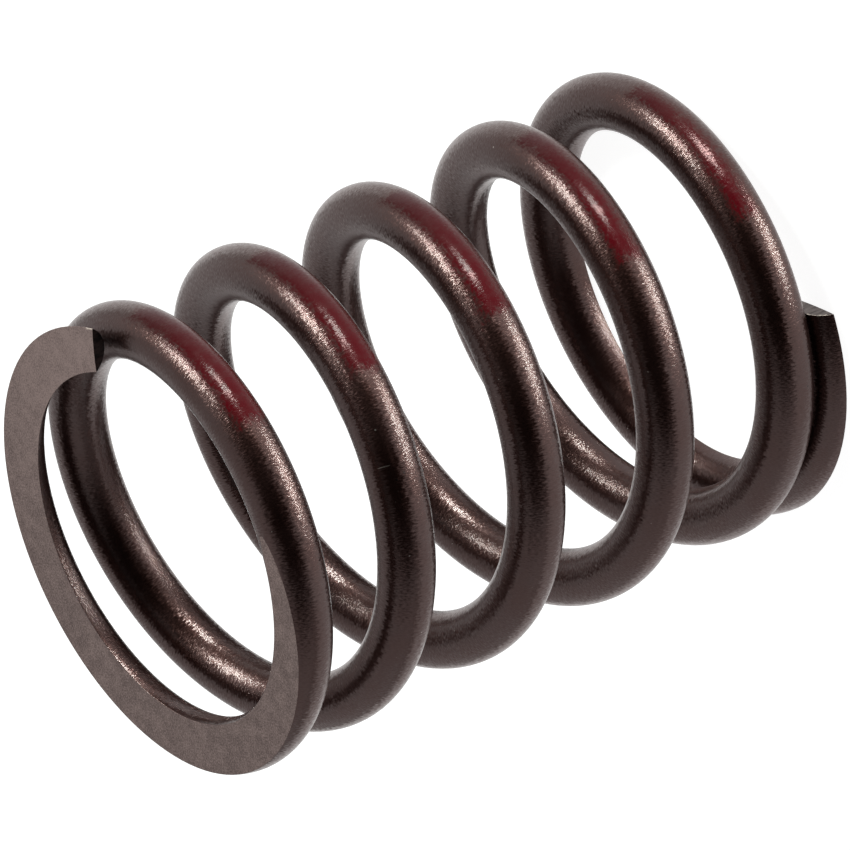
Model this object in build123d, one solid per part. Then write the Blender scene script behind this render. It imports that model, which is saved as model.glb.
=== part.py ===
from build123d import *
import os
from math import cos, pi, radians, sin, tan

# A compression spring coiled left-hand from one round wire, its two ends closed and ground flat.
# It stands on its bottom seat: the origin is the middle of that seat, +Z is the coil's axis,
# and the wire's top tip is on the side of +X.

# Driving dimensions, in millimetres, degrees and turns of wire
WIRE_DIAMETER = 3.8
OUTSIDE_DIAMETER = 31.8
FREE_LENGTH = 45.0
TOTAL_TURNS = 5.75
CLOSED_TURNS = 0.33  # stretch at each end that keeps the closed pitch
OPENING_TURNS = 1.3  # stretch over which the closed pitch opens to the active one
TOP_TIP_THICKNESS = 0.85  # what the grinding leaves of the wire at each tip
BOTTOM_TIP_THICKNESS = 1.2
TOP_TIP_GAP = 0.55  # from each wire tip, as coiled, to the coil that it closes on
BOTTOM_TIP_GAP = 0.2
TOP_SHEAR_ANGLE = 19.0  # lean of each sheared tip from the coil's radius
BOTTOM_SHEAR_ANGLE = 11.0

POINTS_PER_TURN = 16  # along the wire's centre line
OVERRUN_SHARE = 1.2  # wire past each tip, as a share of what the lean of the shear takes up
OFFCUT_LENGTH_SHARE = 3.0  # length of an offcut, as a share of that overrun
OFFCUT_SPARE_SHARE = 0.33  # how much fatter than the wire an offcut is, as a share of the tip gap

wire_radius = WIRE_DIAMETER / 2
mean_radius = (OUTSIDE_DIAMETER - WIRE_DIAMETER) / 2
overrun = OVERRUN_SHARE * wire_radius * tan(radians(max(TOP_SHEAR_ANGLE, BOTTOM_SHEAR_ANGLE)))
overrun_turns = overrun / (2 * pi * mean_radius)  # wire past each tip, which is sheared off


def opened_turns(turns):
    """Turns of active pitch in the first turns of wire from a tip, the rest being at closed pitch."""
    opening = turns - CLOSED_TURNS
    share = min(max(opening / OPENING_TURNS, 0), 1)
    return OPENING_TURNS * (share**3 - share**4 / 2) + max(opening - OPENING_TURNS, 0)


half_opened = opened_turns(TOTAL_TURNS / 2)
half_closed = TOTAL_TURNS / 2 - half_opened
first_opened = opened_turns(1)
first_closed = 1 - first_opened


def make_end(tip_thickness, tip_gap):
    """Depth of the wire's centre below the ground face at a tip, and the active and closed pitch there.

    The pitches follow from two drops: the one down to the middle of the wire fits half the free
    length, and the one over the first turn from the tip brings the end coil down onto the next.
    """
    tip_depth = tip_thickness - wire_radius
    half_drop = FREE_LENGTH / 2 - tip_depth
    first_drop = WIRE_DIAMETER + tip_gap
    determinant = half_opened * first_closed - half_closed * first_opened
    active_pitch = (half_drop * first_closed - first_drop * half_closed) / determinant
    closed_pitch = (first_drop * half_opened - half_drop * first_opened) / determinant
    return tip_depth, active_pitch, closed_pitch


top_end = make_end(TOP_TIP_THICKNESS, TOP_TIP_GAP)
bottom_end = make_end(BOTTOM_TIP_THICKNESS, BOTTOM_TIP_GAP)


def depth_below(end, turns):
    """Depth of the wire's centre below an end's ground face, this many turns from its tip."""
    tip_depth, active_pitch, closed_pitch = end
    opened = opened_turns(turns)
    return tip_depth + opened * active_pitch + (turns - opened) * closed_pitch


def wire_point(turns):
    """Centre of the wire, this many turns down from the top tip."""
    if turns < TOTAL_TURNS / 2:
        height = FREE_LENGTH - depth_below(top_end, turns)
    else:
        height = depth_below(bottom_end, TOTAL_TURNS - turns)
    angle = 2 * pi * turns
    return Vector(mean_radius * cos(angle), mean_radius * sin(angle), height)


def make_coiled_wire():
    """The wire as it leaves the coiling, round all along, with its overrun at both tips."""
    coiled_turns = TOTAL_TURNS + 2 * overrun_turns
    steps = round(coiled_turns * POINTS_PER_TURN)
    centre_line = Spline(*[wire_point(coiled_turns * i / steps - overrun_turns) for i in range(steps + 1)])
    section = Plane(origin=centre_line @ 0, z_dir=centre_line % 0) * Circle(wire_radius)
    return sweep(section, path=centre_line)


def make_offcut(tip_turns, shear_angle, tip_gap, side):
    """What is sheared off at a tip: a stub in line with the wire, a little fatter than its overrun."""
    tip = wire_point(tip_turns)
    along = (wire_point(tip_turns + side * overrun_turns) - tip).normalized()
    lean = Vector(tip.X, tip.Y, 0).rotate(Axis.Z, -shear_angle)
    shear_plane = Plane(origin=tip, x_dir=lean, z_dir=lean.cross(Vector(0, 0, 1)))
    radius = wire_radius + OFFCUT_SPARE_SHARE * tip_gap
    section = shear_plane * Ellipse(radius / cos(radians(shear_angle)), radius)
    return extrude(section, amount=OFFCUT_LENGTH_SHARE * overrun, dir=along)


def make_valve_spring():
    """The coiled wire, sheared at both tips and ground flat at both ends."""
    top_offcut = make_offcut(0, TOP_SHEAR_ANGLE, TOP_TIP_GAP, -1)
    bottom_offcut = make_offcut(TOTAL_TURNS, BOTTOM_SHEAR_ANGLE, BOTTOM_TIP_GAP, 1)
    between_grindstones = Box(
        2 * OUTSIDE_DIAMETER,
        2 * OUTSIDE_DIAMETER,
        FREE_LENGTH,
        align=(Align.CENTER, Align.CENTER, Align.MIN),
    )
    return (make_coiled_wire() - top_offcut - bottom_offcut) & between_grindstones


os.makedirs("parts", exist_ok=True)
export_step(make_valve_spring(), "parts/valve_spring.step")
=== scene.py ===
from math import asin, atan, atan2, cos, pi, radians, sin, tan

import bmesh
import bpy
from mathutils import Matrix, Vector


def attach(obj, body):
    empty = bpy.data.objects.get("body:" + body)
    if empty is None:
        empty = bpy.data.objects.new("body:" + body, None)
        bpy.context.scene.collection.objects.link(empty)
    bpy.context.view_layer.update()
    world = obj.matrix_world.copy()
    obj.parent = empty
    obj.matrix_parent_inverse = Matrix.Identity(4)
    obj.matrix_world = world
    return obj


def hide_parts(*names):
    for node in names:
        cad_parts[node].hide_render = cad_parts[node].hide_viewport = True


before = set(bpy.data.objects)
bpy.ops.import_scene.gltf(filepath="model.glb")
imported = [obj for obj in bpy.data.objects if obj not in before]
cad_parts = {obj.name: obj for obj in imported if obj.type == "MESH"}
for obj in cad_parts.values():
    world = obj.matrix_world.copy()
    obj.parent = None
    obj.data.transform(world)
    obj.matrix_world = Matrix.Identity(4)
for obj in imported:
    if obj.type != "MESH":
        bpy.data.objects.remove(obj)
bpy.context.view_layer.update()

# The wire, as the CAD model has it
MM = 0.001
WIRE_RADIUS = 1.9 * MM
MEAN_RADIUS = 14.0 * MM
FREE_LENGTH = 45.0 * MM
TOTAL_TURNS = 5.75
CLOSED_TURNS = 0.33  # stretch at each end that keeps the closed pitch
OPENING_TURNS = 1.3  # stretch over which the closed pitch opens to the active one
TOP_TIP_THICKNESS = 0.85 * MM  # what the grinding leaves of the wire at each tip
BOTTOM_TIP_THICKNESS = 1.2 * MM
TOP_TIP_GAP = 0.55 * MM  # from each wire tip, as coiled, to the coil that it closes on
BOTTOM_TIP_GAP = 0.2 * MM
TOP_SHEAR_ANGLE = radians(19.0)  # lean of each sheared tip from the coil's radius
BOTTOM_SHEAR_ANGLE = radians(11.0)

TURN_LENGTH = 2 * pi * MEAN_RADIUS
GIRTH = 2 * pi * WIRE_RADIUS
TOP = 1  # the way that each end's ground face looks, up or down
BOTTOM = -1

# The mesh that stands for it
SECTIONS_PER_TURN = 120
ARC_STEPS = 64  # round the wire, and across its ground face
CHORD_STEPS = 8
SLOPE_STEP = 0.001  # turns each way, over which the wire's slope is measured
SHEAR_TURNS = 0.03  # stretch of wire over which the sections turn to the sheared tip
WELD_DISTANCE = 0.0005 * MM
SEAT_DEPTH = 0.001 * MM  # a face this near to either end, and this level, is part of a ground seat
SEAT_LEVEL = 0.9999  # the upright share of its normal
EDGE_EASE = 0.05 * MM
EASE_STEPS = 2
SHARP_ANGLE = radians(28)

# The mesh's material slots, after the wire's own, which is 0
TOP_TIP_SLOT = 1
SEAT_SLOT = 2
BOTTOM_TIP_SLOT = 3

# The colours, as linear red, green, blue and alpha
WIRE_BROWN = (0.040, 0.0138, 0.0108, 1)
WIRE_GREY = (0.044, 0.0190, 0.0165, 1)
EDGE_TINT = (0.62, 0.54, 0.53, 1)  # of the wire's shine where it is seen edge on
SPECK_PALE = (0.30, 0.26, 0.24, 1)
SPECK_DARK = (0.006, 0.004, 0.004, 1)
SCRATCH_PALE = (0.40, 0.33, 0.30, 1)
# A burr's pale metal, partly a painted highlight along its edge
BURR_AND_HIGHLIGHT_PALE = (0.60, 0.51, 0.45, 1)
# The top tip's colours are painted shade: its cut face is made near black, as if in shadow
TOP_TIP_PAINTED_SHADE_DARK = (0.006, 0.004, 0.004, 1)
TOP_TIP_PAINTED_SHADE_LIGHT = (0.022, 0.013, 0.012, 1)
BOTTOM_TIP_DARK = (0.045, 0.034, 0.032, 1)
BOTTOM_TIP_LIGHT = (0.100, 0.080, 0.076, 1)
GROUND_DARK = (0.110, 0.077, 0.071, 1)
GROUND_LIGHT = (0.285, 0.212, 0.195, 1)
PAINT_RED = (0.046, 0.0013, 0.0030, 1)
PAINT_THIN = (0.019, 0.0012, 0.0017, 1)

# The wire's finish. Its patterns run on the unrolled wire, in waves per millimetre, and the levels
# after a pattern are those of its noise, from 0 to 1, between which it starts and is in full.
MOTTLE = dict(scale=0.35, detail=3.0)
MOTTLE_LEVELS = (0.35, 0.65)
PALE_SPECKS = dict(scale=3.3, detail=2.0)
PALE_SPECK_LEVELS = (0.765, 0.80)
DARK_SPECKS = dict(scale=2.3, detail=3.0, squeeze=(1.0, 1.3, 1.0))
DARK_SPECK_LEVELS = (0.26, 0.22)
ROUGHNESS_LEVELS = (0.3, 0.7)
WIRE_SMOOTHEST = 0.33
WIRE_ROUGHEST = 0.37
FILM = 0.66  # strength of the thin clear film on the bare wire
FILM_ROUGHNESS = 0.23

# The grain, as a lean of the surface's normal
GRAIN_LENGTH = 3.5  # round the wire, times its spacing along it
GRAIN_SQUEEZE = (1.0, 1.0 / GRAIN_LENGTH, 1.0)
GRAIN_ROUND = dict(scale=10.0, detail=2.0, squeeze=GRAIN_SQUEEZE)
GRAIN_ALONG = dict(scale=14.0, detail=2.0, squeeze=GRAIN_SQUEEZE)
GRAIN_TILT_ROUND = 0.17  # the most that it leans each way
GRAIN_TILT_ALONG = 0.14
GRAIN_UNDER_PAINT = 0.5  # the share of the grain that shows through the paint

# The paint, in millimetres: along the wire from the start of each turn, and round it, towards the
# top end, from its outermost line
PAINT_START = 74.5
PAINT_END = 86.6
PAINT_TOP = 1.25
PAINT_BOTTOM = -1.5
PAINT_EDGE = (-0.3, 0.7)  # the depth inside its sides at which it starts and covers in full
PAINT_FADE = 0.9  # the same each way, at its bottom
PAINT_DRIFT = 0.10  # back along the wire, times the square of the turn's number, from 0 at the top
PAINT_NARROWING = 0.075  # up from its bottom, times the same
PAINT_RAGS = dict(scale=0.9, detail=3.0)
PAINT_RAGS_WIDTH = 1.1
BRISTLES = dict(scale=6.0, detail=2.0, squeeze=(0.6, 1.0, 1.0))
BRISTLES_WIDTH = 1.6
PAINT_WEAR = dict(scale=1.3, detail=4.0, squeeze=(1.0, 0.5, 1.0))
PAINT_WEAR_LEVELS = (0.34, 0.58)
PAINT_LEFT = 0.9  # the least cover that the wear leaves
PAINT_ROUGHNESS = 0.2
PAINT_GLOSS = 0.115

# Marks on the wire: along and round it in millimetres, their half sizes each way, and their colour
MARKS = (
    (156.87, 1.49, 0.035, 0.46, SCRATCH_PALE),
    (159.06, 1.19, 0.06, 0.06, SPECK_PALE),
    (151.42, 0.97, 0.05, 0.05, SPECK_PALE),
    (155.97, 0.90, 0.09, 0.07, SPECK_DARK),
    (156.25, 0.30, 0.06, 0.06, SPECK_DARK),
    (351.15, 1.92, 0.07, 0.07, SPECK_PALE),
    (181.47, 3.28, 0.08, 0.06, SPECK_DARK),
    (175.67, 2.82, 0.06, 0.08, SPECK_DARK),
)
MARK_EDGE = (0.4, 1.3)  # the squared share of its half size at which it starts to fade and is gone
MARK_STRENGTH = 0.9

# The cut ends. Their patterns run through the metal, in waves per metre.
TEAR = dict(scale=2600.0, detail=4.0, squeeze=(1.0, 1.0, 0.3))
TEAR_LEVELS = (0.35, 0.65)
TEAR_DEPTH = 0.05 * MM
TEAR_ROUGHNESS = 0.5
GRIT = dict(scale=8000.0, detail=2.0)
GRIT_SHARE = 0.7  # of the ground seat's pattern, where the rest is its blotches
GRIT_DEPTH = 0.01 * MM
GRIT_ROUGHNESS = 0.55
BLOTCHES = dict(scale=1300.0, detail=4.0)
GROUND_LEVELS = (0.30, 0.70)
SEAT_TONE_NEAR = 6 * MM  # the seat darkens between these distances from the top tip's outer corner
SEAT_TONE_FAR = 26 * MM
SEAT_TONE_MOST = 0.08
SEAT_TONE_LEAST = -0.04

# Each burr is drawn as a pale line, which is partly a painted highlight
# Their burrs, in burr widths: the depth inside the edge at which a burr starts and is in full,
# and the width over which its line wanders
BURR_WIDTH = 0.13 * MM
TIP_BURR = dict(start=1.0, full=0.5, wander=3.0)
TIP_BURR_EDGE = dict(scale=3000.0, detail=3.0)
TIP_BURR_PATCHES = dict(scale=1500.0, detail=2.0)
TIP_BURR_LEVELS = (0.42, 0.60)
SEAT_BURR = dict(start=1.3, full=0.6, wander=2.0)
SEAT_BURR_REACH = 0.9 * MM  # from the top tip's outer corner
SEAT_BURR_FULL = 0.54 * MM


def opened_turns(turns):
    """Turns of active pitch in the first turns of wire from a tip, the rest being at closed pitch."""
    opening = turns - CLOSED_TURNS
    share = min(max(opening / OPENING_TURNS, 0), 1)
    return OPENING_TURNS * (share**3 - share**4 / 2) + max(opening - OPENING_TURNS, 0)


half_opened = opened_turns(TOTAL_TURNS / 2)
half_closed = TOTAL_TURNS / 2 - half_opened
first_opened = opened_turns(1)
first_closed = 1 - first_opened


def make_end(tip_thickness, tip_gap):
    """Depth of the wire's centre below the ground face at a tip, and the active and closed pitch there."""
    tip_depth = tip_thickness - WIRE_RADIUS
    half_drop = FREE_LENGTH / 2 - tip_depth
    first_drop = 2 * WIRE_RADIUS + tip_gap
    determinant = half_opened * first_closed - half_closed * first_opened
    active_pitch = (half_drop * first_closed - first_drop * half_closed) / determinant
    closed_pitch = (first_drop * half_opened - half_drop * first_opened) / determinant
    return tip_depth, active_pitch, closed_pitch


top_end = make_end(TOP_TIP_THICKNESS, TOP_TIP_GAP)
bottom_end = make_end(BOTTOM_TIP_THICKNESS, BOTTOM_TIP_GAP)


def wire_height(turns):
    """Height of the wire's centre, this many turns down from the top tip."""
    in_top_half = turns < TOTAL_TURNS / 2
    tip_depth, active_pitch, closed_pitch = top_end if in_top_half else bottom_end
    from_tip = min(turns, TOTAL_TURNS - turns)
    opened = opened_turns(from_tip)
    depth = tip_depth + opened * active_pitch + (from_tip - opened) * closed_pitch
    return FREE_LENGTH - depth if in_top_half else depth


def wire_centre(turns):
    """Centre of the wire, this many turns down from the top tip."""
    angle = 2 * pi * turns
    return Vector((MEAN_RADIUS * cos(angle), MEAN_RADIUS * sin(angle), wire_height(turns)))


def wire_slope(turns):
    """Drop of the wire per length along its circle, at this many turns."""
    drop = wire_height(turns - SLOPE_STEP) - wire_height(turns + SLOPE_STEP)
    return drop / (2 * SLOPE_STEP * TURN_LENGTH)


def section(turns, end):
    """A section's centre, its axes outward and towards the end, and the angle up to the ground face."""
    angle = 2 * pi * turns
    outward = Vector((cos(angle), sin(angle), 0))
    slope = atan(wire_slope(turns))
    along = Vector((-sin(angle) * cos(slope), cos(angle) * cos(slope), -sin(slope)))
    endward = outward.cross(along)
    if endward.z * end < 0:
        endward = -endward
    centre = wire_centre(turns)
    face = FREE_LENGTH if end == TOP else 0
    reach = (face - centre.z) / (WIRE_RADIUS * endward.z)
    return centre, outward, endward, asin(min(reach, 1))


def surface_point(turns, end, share):
    """A point of the wire's skin, and its offset outward and height towards the end from the centre.

    A share from 0 to 1 goes round the arc, and from 1 to 2 back across the ground face.
    """
    centre, outward, endward, start = section(turns, end)
    if share <= 1:
        angle = pi - start + share * (pi + 2 * start)
        offset = WIRE_RADIUS * cos(angle)
        height = WIRE_RADIUS * sin(angle)
    else:
        offset = WIRE_RADIUS * cos(start) * (3 - 2 * share)
        height = WIRE_RADIUS * sin(start)
    return centre + outward * offset + endward * height, offset, height


def wire_uv(turns, offset, height):
    """Place on the unrolled wire, in millimetres: along it, and round it from its outermost line."""
    return Vector((turns * TURN_LENGTH, atan2(height, offset) * WIRE_RADIUS)) / MM


def make_half(mesh, uv_layer, end, shear_angle):
    """Half of the wire, from a tip to its middle, with the sections near the tip leaning as it does."""
    count = round(TOTAL_TURNS / 2 * SECTIONS_PER_TURN)
    shares = [i / ARC_STEPS for i in range(ARC_STEPS)]
    shares += [1 + i / CHORD_STEPS for i in range(CHORD_STEPS)]
    rows = []
    for i in range(count + 1):
        from_tip = TOTAL_TURNS / 2 * i / count
        lean = max(1 - from_tip / SHEAR_TURNS, 0) * tan(shear_angle) / TURN_LENGTH
        row = []
        for share in shares:
            turns = from_tip if end == TOP else TOTAL_TURNS - from_tip
            point, offset, height = surface_point(turns, end, share)
            if lean:
                turns -= lean * offset
                point, offset, height = surface_point(turns, end, share)
            row.append((mesh.verts.new(point), wire_uv(turns, offset, height * end)))
        rows.append(row)
    for i in range(count):
        for j in range(len(shares)):
            k = (j + 1) % len(shares)
            corners = [rows[i][j], rows[i][k], rows[i + 1][k], rows[i + 1][j]]
            face = mesh.faces.new([vertex for vertex, uv in corners])
            first_round = corners[0][1].y
            for loop, (vertex, uv) in zip(face.loops, corners):
                laps = round((uv.y - first_round) / (GIRTH / MM))
                loop[uv_layer].uv = (uv.x, uv.y - laps * GIRTH / MM)
    cap = mesh.faces.new([vertex for vertex, uv in rows[0]])
    cap.material_index = TOP_TIP_SLOT if end == TOP else BOTTOM_TIP_SLOT


def in_seat(face):
    """Whether a face of the mesh is part of a ground seat."""
    height = face.calc_center_median().z
    at_an_end = height < SEAT_DEPTH or height > FREE_LENGTH - SEAT_DEPTH
    return at_an_end and abs(face.normal.z) > SEAT_LEVEL


def make_spring():
    """The whole spring as one mesh, with its edges slightly eased."""
    mesh = bmesh.new()
    uv_layer = mesh.loops.layers.uv.new("wire")
    make_half(mesh, uv_layer, TOP, TOP_SHEAR_ANGLE)
    make_half(mesh, uv_layer, BOTTOM, BOTTOM_SHEAR_ANGLE)
    bmesh.ops.remove_doubles(mesh, verts=mesh.verts, dist=WELD_DISTANCE)
    bmesh.ops.recalc_face_normals(mesh, faces=mesh.faces)
    for face in mesh.faces:
        if in_seat(face):
            face.material_index = SEAT_SLOT
    data = bpy.data.meshes.new("spring")
    mesh.to_mesh(data)
    mesh.free()
    data.shade_smooth()
    data.set_sharp_from_angle(angle=SHARP_ANGLE)
    spring = bpy.data.objects.new("spring", data)
    bpy.context.collection.objects.link(spring)
    ease = spring.modifiers.new("eased_edges", "BEVEL")
    ease.limit_method = "ANGLE"
    ease.angle_limit = SHARP_ANGLE
    ease.width = EDGE_EASE
    ease.segments = EASE_STEPS
    ease.harden_normals = True
    return spring


class Nodes:
    """Builds a material's or the world's nodes, one call each."""

    def __init__(self, tree):
        self.tree = tree

    def fill(self, node, **inputs):
        """Gives a node's inputs, by name with _ for a space or by number as i0, a value or a socket."""
        for name, value in inputs.items():
            socket = node.inputs[int(name[1:]) if name[1:].isdigit() else name.replace("_", " ")]
            if isinstance(value, bpy.types.NodeSocket):
                self.tree.links.new(value, socket)
            else:
                socket.default_value = value
        return node

    def add(self, kind, settings=None, **inputs):
        """A new node of this kind."""
        node = self.tree.nodes.new("ShaderNode" + kind)
        for name, value in (settings or {}).items():
            setattr(node, name, value)
        return self.fill(node, **inputs)

    def math(self, operation, first, *others, clamp=False):
        """One operation on a value, or on two and more in turn."""
        settings = {"operation": operation, "use_clamp": clamp}
        if not others:
            return self.add("Math", settings, i0=first).outputs[0]
        for other in others:
            first = self.add("Math", settings, i0=first, i1=other).outputs[0]
        return first

    def distance(self, first, second):
        """The distance between two places."""
        return self.add("VectorMath", {"operation": "DISTANCE"}, i0=first, i1=second).outputs["Value"]

    def map_range(self, kind, value, low, high, to_low, to_high):
        """Value mapped from low..high to to_low..to_high."""
        settings = {"interpolation_type": kind}
        node = self.add("MapRange", settings, Value=value, i1=low, i2=high, i3=to_low, i4=to_high)
        return node.outputs["Result"]

    def ramp(self, value, low, high, to_low=0.0, to_high=1.0):
        """Value mapped smoothly from low..high to to_low..to_high."""
        return self.map_range("SMOOTHSTEP", value, low, high, to_low, to_high)

    def lean(self, noise, most):
        """Noise as one axis of a normal map, leaning by up to the most each way."""
        return self.map_range("LINEAR", noise, 0.0, 1.0, 0.5 - most, 0.5 + most)

    def wander(self, noise, width):
        """Noise as a distance either side of zero, this wide in all."""
        return self.math("MULTIPLY", self.math("SUBTRACT", noise, 0.5), width)

    def noise(self, place, scale, detail, squeeze=(1, 1, 1)):
        """A noise pattern from 0 to 1, squeezed by so much along each axis."""
        mapping = self.add("Mapping", Vector=place, Scale=squeeze)
        return self.add("TexNoise", Vector=mapping.outputs[0], Scale=scale, Detail=detail).outputs["Fac"]

    def mix(self, share, first, second):
        """Two colours mixed, with this share of the second."""
        return self.add("Mix", {"data_type": "RGBA"}, i0=share, i6=first, i7=second).outputs[2]

    def mix_values(self, share, first, second):
        """Two values mixed, with this share of the second."""
        return self.add("Mix", {"data_type": "FLOAT"}, i0=share, i2=first, i3=second).outputs[0]


def new_material(name):
    """A material, the builder of its nodes, and its shader."""
    material = bpy.data.materials.new(name)
    material.use_nodes = True
    nodes = Nodes(material.node_tree)
    return material, nodes, material.node_tree.nodes["Principled BSDF"]


def painted(nodes, wire, in_turn, turn, around):
    """How much the red paint covers the wire: one brushed stripe, so a patch on each turn."""
    rags = nodes.wander(nodes.noise(wire, **PAINT_RAGS), PAINT_RAGS_WIDTH)
    ragged = nodes.math("ADD", rags, nodes.wander(nodes.noise(wire, **BRISTLES), BRISTLES_WIDTH))
    turn_squared = nodes.math("MULTIPLY", turn, turn)
    drifted = nodes.math("ADD", in_turn, nodes.math("MULTIPLY", turn_squared, PAINT_DRIFT))
    bottom = nodes.math("ADD", nodes.math("MULTIPLY", turn_squared, PAINT_NARROWING), PAINT_BOTTOM)
    inside = nodes.math(
        "MINIMUM",
        nodes.math("SUBTRACT", drifted, PAINT_START),
        nodes.math("SUBTRACT", PAINT_END, drifted),
        nodes.math("SUBTRACT", PAINT_TOP, around),
    )
    above = nodes.math("SUBTRACT", around, bottom)
    return nodes.math(
        "MULTIPLY",
        nodes.ramp(nodes.math("ADD", inside, ragged), *PAINT_EDGE),
        nodes.ramp(nodes.math("ADD", above, ragged), -PAINT_FADE, PAINT_FADE),
        nodes.ramp(nodes.noise(wire, **PAINT_WEAR), *PAINT_WEAR_LEVELS, PAINT_LEFT, 1.0),
    )


def marked(nodes, along, around, mark):
    """How much one small oval mark shows."""
    middle, height, half_length, half_width, colour = mark
    run = nodes.math("DIVIDE", nodes.math("SUBTRACT", along, middle), half_length)
    rise = nodes.math("DIVIDE", nodes.math("SUBTRACT", around, height), half_width)
    away = nodes.math("ADD", nodes.math("MULTIPLY", run, run), nodes.math("MULTIPLY", rise, rise))
    return nodes.ramp(away, *MARK_EDGE, MARK_STRENGTH, 0.0)


def make_wire_metal():
    """Oil-tempered wire, a dark bronze-brown satin, with a brushed stripe of red paint on each turn."""
    material, nodes, shader = new_material("bronze_brown_wire")
    wire = nodes.add("UVMap", {"uv_map": "wire"}).outputs[0]
    place = nodes.add("SeparateXYZ", Vector=wire)
    along = place.outputs[0]
    around = place.outputs[1]

    mottle = nodes.noise(wire, **MOTTLE)
    colour = nodes.mix(nodes.ramp(mottle, *MOTTLE_LEVELS), WIRE_BROWN, WIRE_GREY)
    pale = nodes.ramp(nodes.noise(wire, **PALE_SPECKS), *PALE_SPECK_LEVELS)
    colour = nodes.mix(pale, colour, SPECK_PALE)
    dark = nodes.ramp(nodes.noise(wire, **DARK_SPECKS), *DARK_SPECK_LEVELS)
    colour = nodes.mix(dark, colour, SPECK_DARK)

    turns = nodes.math("DIVIDE", along, TURN_LENGTH / MM)
    in_turn = nodes.math("MULTIPLY", nodes.math("FRACT", turns), TURN_LENGTH / MM)
    cover = painted(nodes, wire, in_turn, nodes.math("FLOOR", turns), around)
    paint = nodes.mix(nodes.ramp(in_turn, PAINT_START, PAINT_END), PAINT_RED, PAINT_THIN)
    colour = nodes.mix(cover, colour, paint)
    for mark in MARKS:
        colour = nodes.mix(marked(nodes, along, around, mark), colour, mark[-1])

    leaning = nodes.add(
        "CombineXYZ",
        X=nodes.lean(nodes.noise(wire, **GRAIN_ALONG), GRAIN_TILT_ALONG),
        Y=nodes.lean(nodes.noise(wire, **GRAIN_ROUND), GRAIN_TILT_ROUND),
        Z=1.0,
    ).outputs[0]
    strength = nodes.mix_values(cover, 1.0, GRAIN_UNDER_PAINT)
    grain = nodes.add("NormalMap", {"uv_map": "wire"}, Strength=strength, Color=leaning).outputs[0]
    roughness = nodes.ramp(mottle, *ROUGHNESS_LEVELS, WIRE_SMOOTHEST, WIRE_ROUGHEST)
    nodes.fill(
        shader,
        Base_Color=colour,
        Metallic=nodes.math("SUBTRACT", 1.0, cover),
        Roughness=nodes.mix_values(cover, roughness, PAINT_ROUGHNESS),
        Normal=grain,
        Specular_IOR_Level=PAINT_GLOSS,
        Specular_Tint=EDGE_TINT,
        Coat_Weight=nodes.mix_values(cover, FILM, 0.0),
        Coat_Roughness=FILM_ROUGHNESS,
        Coat_Normal=grain,
    )
    return material


def burred(nodes, out, edge, noise, start, full, wander):
    """How much a burr and its painted highlight show at a distance out from the middle, near an edge."""
    torn = nodes.math("ADD", out, nodes.wander(noise, wander * BURR_WIDTH))
    return nodes.ramp(torn, edge - start * BURR_WIDTH, edge - full * BURR_WIDTH)


def make_sheared_metal(name, dark, light, centre, burr_and_highlight_colour):
    """A sheared tip's torn metal, streaked as the blade went; its edge has a burr and painted highlight.
    """
    material, nodes, shader = new_material(name)
    place = nodes.add("TexCoord").outputs["Object"]
    tear = nodes.noise(place, **TEAR)
    colour = nodes.mix(nodes.ramp(tear, *TEAR_LEVELS), dark, light)
    out = nodes.distance(place, centre)
    # the burr's line: pale with a painted highlight on the bottom tip, painted shade on the top one
    burr = burred(nodes, out, WIRE_RADIUS, nodes.noise(place, **TIP_BURR_EDGE), **TIP_BURR)
    patches = nodes.ramp(nodes.noise(place, **TIP_BURR_PATCHES), *TIP_BURR_LEVELS)
    nodes.fill(
        shader,
        Base_Color=nodes.mix(nodes.math("MULTIPLY", burr, patches), colour, burr_and_highlight_colour),
        Metallic=1.0,
        Roughness=TEAR_ROUGHNESS,
        Normal=nodes.add("Bump", Height=tear, Distance=TEAR_DEPTH).outputs[0],
    )
    return material


def make_ground_metal():
    """Ground seats: matt, a fine soft mottle, a burr and painted highlight at the top tip's outer corner.
    """
    material, nodes, shader = new_material("ground_seat")
    place = nodes.add("TexCoord").outputs["Object"]
    corner_offset = surface_point(0, TOP, 1)[1]
    corner_turns = -tan(TOP_SHEAR_ANGLE) * corner_offset / TURN_LENGTH
    from_corner = nodes.distance(place, surface_point(corner_turns, TOP, 1)[0])

    grit = nodes.noise(place, **GRIT)
    pattern = nodes.math(
        "ADD",
        nodes.math("MULTIPLY", grit, GRIT_SHARE),
        nodes.math("MULTIPLY", nodes.noise(place, **BLOTCHES), 1 - GRIT_SHARE),
        nodes.ramp(from_corner, SEAT_TONE_NEAR, SEAT_TONE_FAR, SEAT_TONE_MOST, SEAT_TONE_LEAST),
    )
    colour = nodes.mix(nodes.ramp(pattern, *GROUND_LEVELS), GROUND_DARK, GROUND_LIGHT)

    flat = nodes.add("VectorMath", {"operation": "MULTIPLY"}, i0=place, i1=(1, 1, 0)).outputs[0]
    out = nodes.add("VectorMath", {"operation": "LENGTH"}, i0=flat).outputs["Value"]
    # the pale burr line by the top tip's outer corner, partly a painted highlight
    burr = burred(nodes, out, MEAN_RADIUS + corner_offset, grit, **SEAT_BURR)
    near = nodes.ramp(from_corner, SEAT_BURR_REACH, SEAT_BURR_FULL)
    nodes.fill(
        shader,
        Base_Color=nodes.mix(nodes.math("MULTIPLY", burr, near), colour, BURR_AND_HIGHLIGHT_PALE),
        Metallic=1.0,
        Roughness=GRIT_ROUGHNESS,
        Normal=nodes.add("Bump", Height=grit, Distance=GRIT_DEPTH).outputs[0],
    )
    return material


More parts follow.
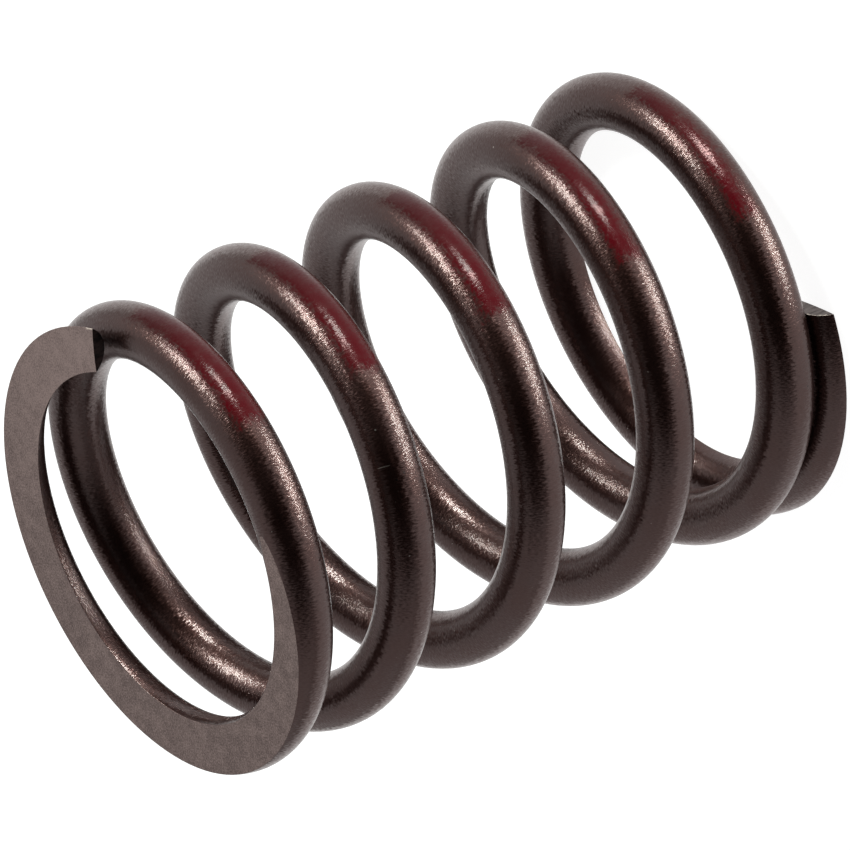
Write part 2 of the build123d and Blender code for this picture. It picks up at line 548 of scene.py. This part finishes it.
spring = make_spring()
top_tip = wire_centre(0)
bottom_tip = wire_centre(TOTAL_TURNS)
for material in (
    make_wire_metal(),
    # The top tip takes painted shade for its colours and its burr, so that its cut face reads as shadowed
    make_sheared_metal("sheared_top_tip_painted_shade", TOP_TIP_PAINTED_SHADE_DARK, TOP_TIP_PAINTED_SHADE_LIGHT, top_tip, TOP_TIP_PAINTED_SHADE_DARK),
    make_ground_metal(),
    make_sheared_metal("sheared_bottom_tip", BOTTOM_TIP_DARK, BOTTOM_TIP_LIGHT, bottom_tip, BURR_AND_HIGHLIGHT_PALE),
):
    spring.data.materials.append(material)
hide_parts("valve_spring")
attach(spring, "root")

# The camera, at the photograph's viewing angle: its lens, its place, its aim and its turn
LENS = 847.06
SENSOR = 36.0
CAMERA_AZIMUTH = radians(-71.275)
CAMERA_ELEVATION = radians(29.487)
CAMERA_ROLL = radians(115.712)
CAMERA_AIM = Vector((-0.374, -0.010, 22.695)) * MM
CAMERA_DISTANCE = 1303.0 * MM

camera_back = Vector(
    (
        cos(CAMERA_ELEVATION) * cos(CAMERA_AZIMUTH),
        cos(CAMERA_ELEVATION) * sin(CAMERA_AZIMUTH),
        sin(CAMERA_ELEVATION),
    )
)
camera_side = Vector((-sin(CAMERA_AZIMUTH), cos(CAMERA_AZIMUTH), 0))
camera_up = camera_side * sin(CAMERA_ROLL) + camera_back.cross(camera_side) * cos(CAMERA_ROLL)
camera_right = camera_up.cross(camera_back)


def make_camera():
    """The scene's camera."""
    data = bpy.data.cameras.new("camera")
    data.lens = LENS
    data.sensor_width = SENSOR
    camera = bpy.data.objects.new("camera", data)
    turn = Matrix((camera_right, camera_up, camera_back)).transposed().to_4x4()
    camera.matrix_world = Matrix.Translation(CAMERA_AIM + camera_back * CAMERA_DISTANCE) @ turn
    bpy.context.collection.objects.link(camera)
    bpy.context.scene.camera = camera


make_camera()

FLOOR_SIZE = 6.0
FLOOR_PALE = (0.3, 0.3, 0.3, 1)
FLOOR_GLOW = 0.92  # the lamps and the world light the floor up to white from here
POOL_RADIUS = 0.1  # of the full glow, which fades to the far glow at the far radius
POOL_BEHIND = 0.04  # from the spring to the pool's middle, away from the camera
FAR_RADIUS = 0.35
FAR_GLOW = 0.25


def make_floor():
    """A pale floor, like the sheet of a light table: white where it is seen, with the spring's shadow.

    It casts no shadow of its own, so that the lamps below it reach the spring.
    """
    bpy.ops.mesh.primitive_plane_add(size=FLOOR_SIZE, location=(0, 0, 0))
    floor = bpy.context.object
    floor.name = "floor"
    floor.visible_shadow = False
    material = bpy.data.materials.new("pale_floor")
    material.use_nodes = True
    material.node_tree.nodes.clear()
    nodes = Nodes(material.node_tree)
    rays = nodes.add("LightPath").outputs
    seen = nodes.math(
        "ADD",
        rays["Is Camera Ray"],
        rays["Is Glossy Ray"],
        rays["Is Transmission Ray"],
        clamp=True,
    )
    place = nodes.add("TexCoord").outputs["Object"]
    pool_middle = -Vector((camera_back.x, camera_back.y, 0)).normalized() * POOL_BEHIND
    away = nodes.distance(place, pool_middle)
    pool = nodes.ramp(away, POOL_RADIUS, FAR_RADIUS, FLOOR_GLOW, FAR_GLOW)
    glow = nodes.add("Emission", Strength=nodes.math("MULTIPLY", seen, pool))
    diffuse = nodes.add("BsdfDiffuse", Color=FLOOR_PALE)
    total = nodes.add("AddShader", i0=diffuse.outputs[0], i1=glow.outputs[0])
    nodes.add("OutputMaterial", Surface=total.outputs[0])
    floor.data.materials.append(material)


make_floor()

# The lamps: each one's direction from the spring, as the camera's right, up and back, its diameter
# in metres and its power in watts
LAMPS = {
    "lamp_low": ((0.865, 0.463, 0.192), 0.50, 6.6),
    "lamp_side": ((0.05, 0.918, 0.394), 0.24, 9.0),
    "lamp_high": ((-0.78, 0.537, 0.322), 0.34, 6.2),
}
LAMP_DISTANCE = 0.8
LAMP_TINT = (0.91, 1.0, 0.95)


def make_lamp(name, towards, diameter, power):
    """A round soft lamp that shines on the middle of the spring."""
    right, up, back = towards
    direction = (camera_right * right + camera_up * up + camera_back * back).normalized()
    data = bpy.data.lights.new(name, "AREA")
    data.shape = "DISK"
    data.size = diameter
    data.energy = power
    data.color = LAMP_TINT
    data.cycles.use_multiple_importance_sampling = False
    lamp = bpy.data.objects.new(name, data)
    lamp.location = Vector((0, 0, FREE_LENGTH / 2)) + direction * LAMP_DISTANCE
    lamp.rotation_euler = direction.to_track_quat("Z", "Y").to_euler()
    lamp.visible_camera = False
    bpy.context.collection.objects.link(lamp)


for lamp_name, lamp_facts in LAMPS.items():
    make_lamp(lamp_name, *lamp_facts)

STUDIO_LIGHT = 0.80
DARK_SIDE_LIGHT = 0.0
DARK_SIDE_FROM = 0.25  # cosine of the angle from the dark side's middle, where it starts
DARK_SIDE_FULL = 0.85


def make_world():
    """Plain studio light from all round, apart from the dark side behind the camera."""
    world = bpy.data.worlds.new("world")
    bpy.context.scene.world = world
    world.use_nodes = True
    nodes = Nodes(world.node_tree)
    direction = nodes.add("TexCoord").outputs["Generated"]
    settings = {"operation": "DOT_PRODUCT"}
    towards = nodes.add("VectorMath", settings, i0=direction, i1=camera_back).outputs["Value"]
    light = nodes.ramp(towards, DARK_SIDE_FROM, DARK_SIDE_FULL, STUDIO_LIGHT, DARK_SIDE_LIGHT)
    nodes.fill(world.node_tree.nodes["Background"], Color=(1, 1, 1, 1), Strength=light)


make_world()

bpy.context.scene.view_settings.view_transform = "Standard"
